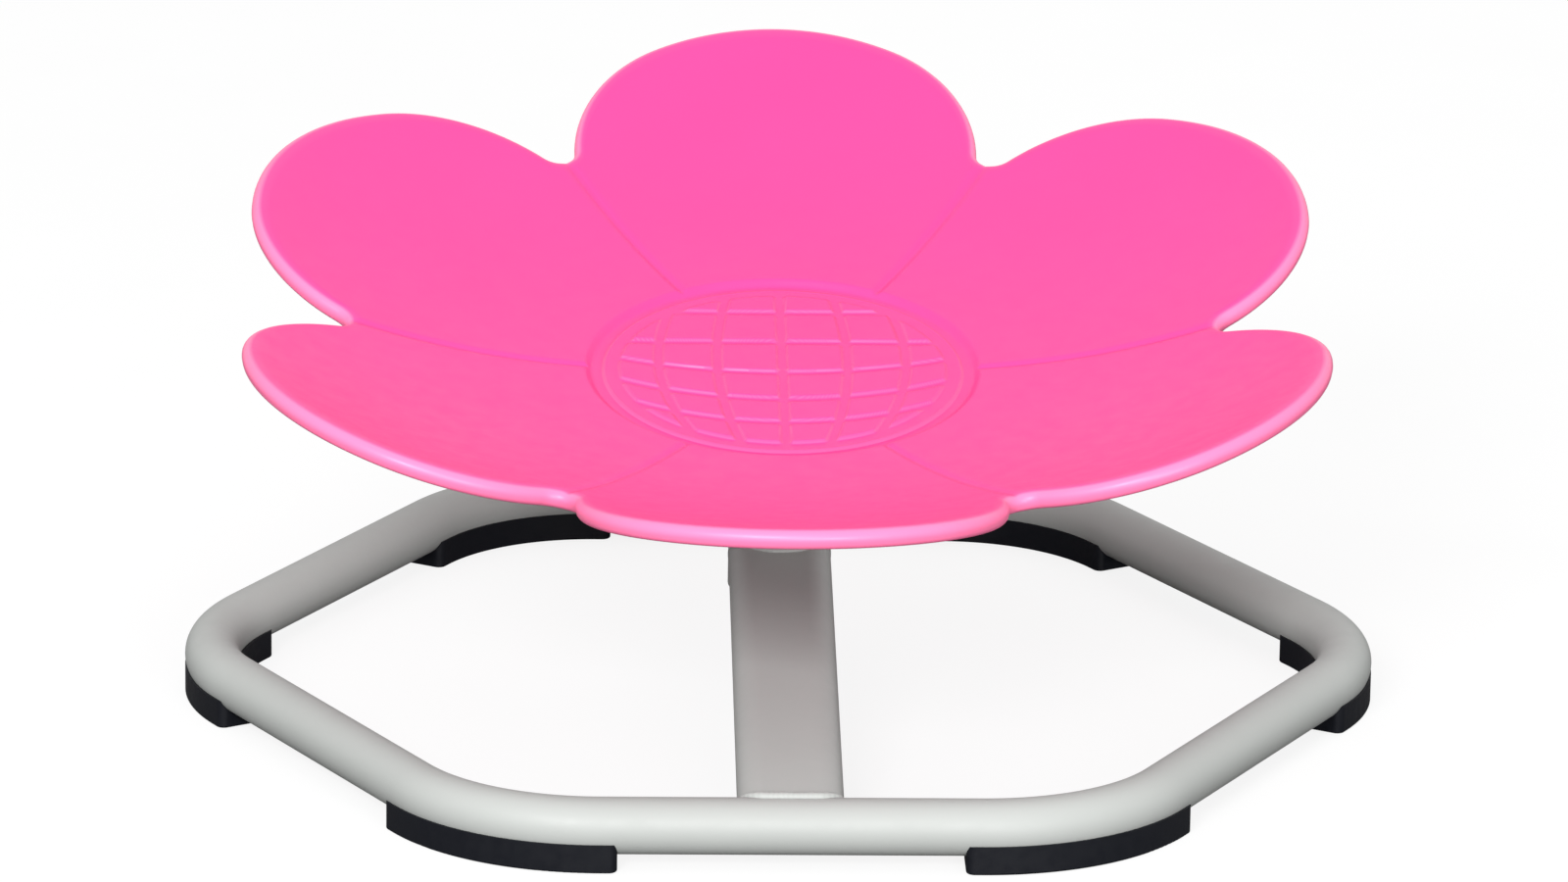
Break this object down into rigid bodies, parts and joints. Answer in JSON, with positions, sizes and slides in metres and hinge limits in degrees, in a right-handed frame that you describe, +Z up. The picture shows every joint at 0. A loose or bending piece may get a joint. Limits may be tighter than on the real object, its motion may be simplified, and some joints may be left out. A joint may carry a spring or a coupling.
{
  "type": "merry go round",
  "caption": "Child's spinning flower seat: a leaning petal-edged dish turns on a bearing hub, held by an arm on a hexagonal tube base with foot pads.",
  "frame": {"origin": "floor level, in the middle of the object's plan", "axes": "+X right along the base's widest measure, +Y back, away from the side that the dish leans to, +Z up"},
  "size_m": [0.6954, 0.6627, 0.3172],
  "materials": {
    "powder_coat": "satin powder coat",
    "pad_rubber": "moulded, satin",
    "zinc_steel": "zinc plated",
    "seal_rubber": "matt",
    "black_plastic": "moulded, matt",
    "spring_steel": "oiled spring steel",
    "bearing_steel": "ground and polished",
    "cage_nylon": "moulded nylon",
    "seat_plastic": "moulded polyethylene, satin gloss",
    "insert_brass": "turned",
    "plate_paint": "black zinc",
    "turned_steel": "turned"
  },
  "bodies": {
    "base": {"ring_tube": "powder_coat", "foot_right": "pad_rubber", "foot_rear_right": "pad_rubber", "foot_rear_left": "pad_rubber", "foot_left": "pad_rubber", "foot_front_left": "pad_rubber", "foot_front_right": "pad_rubber", "foot_screws": "zinc_steel", "arm_tube": "powder_coat", "arm_front_weld": "powder_coat", "hub_weld": "powder_coat", "hub_housing": "powder_coat", "hub_seal": "seal_rubber", "hub_bottom_cap": "black_plastic", "bearing_circlip": "spring_steel", "upper_bearing_outer_ring": "bearing_steel", "lower_bearing_outer_ring": "bearing_steel", "upper_bearing_shields": "seal_rubber", "lower_bearing_shields": "seal_rubber"},
    "ball_train": {"upper_bearing_cage": "cage_nylon", "lower_bearing_cage": "cage_nylon", "upper_bearing_balls": "bearing_steel", "lower_bearing_balls": "bearing_steel"},
    "seat": {"seat_shell": "seat_plastic", "seat_inserts": "insert_brass", "mounting_plate": "plate_paint", "mounting_bolts": "zinc_steel", "mounting_washers": "zinc_steel", "spindle": "turned_steel", "spindle_weld": "plate_paint", "spindle_bolt": "zinc_steel", "spindle_washer": "zinc_steel", "bearing_spacer": "zinc_steel", "upper_bearing_inner_ring": "bearing_steel", "lower_bearing_inner_ring": "bearing_steel"}
  },
  "joints": [
    {"name": "seat_spin", "type": "hinge", "parent": "base", "child": "seat", "pos_m": [0, 0.0101, 0.1965], "axis": [0, -0.1685, 0.9857], "continuous": true},
    {"name": "cage_spin", "type": "hinge", "parent": "base", "child": "ball_train", "pos_m": [0, 0.0101, 0.1965], "axis": [0, -0.1685, 0.9857], "continuous": true}
  ],
  "couplings": [
    {"joint": "cage_spin", "follows": "seat_spin", "ratio": 0.3969}
  ]
}
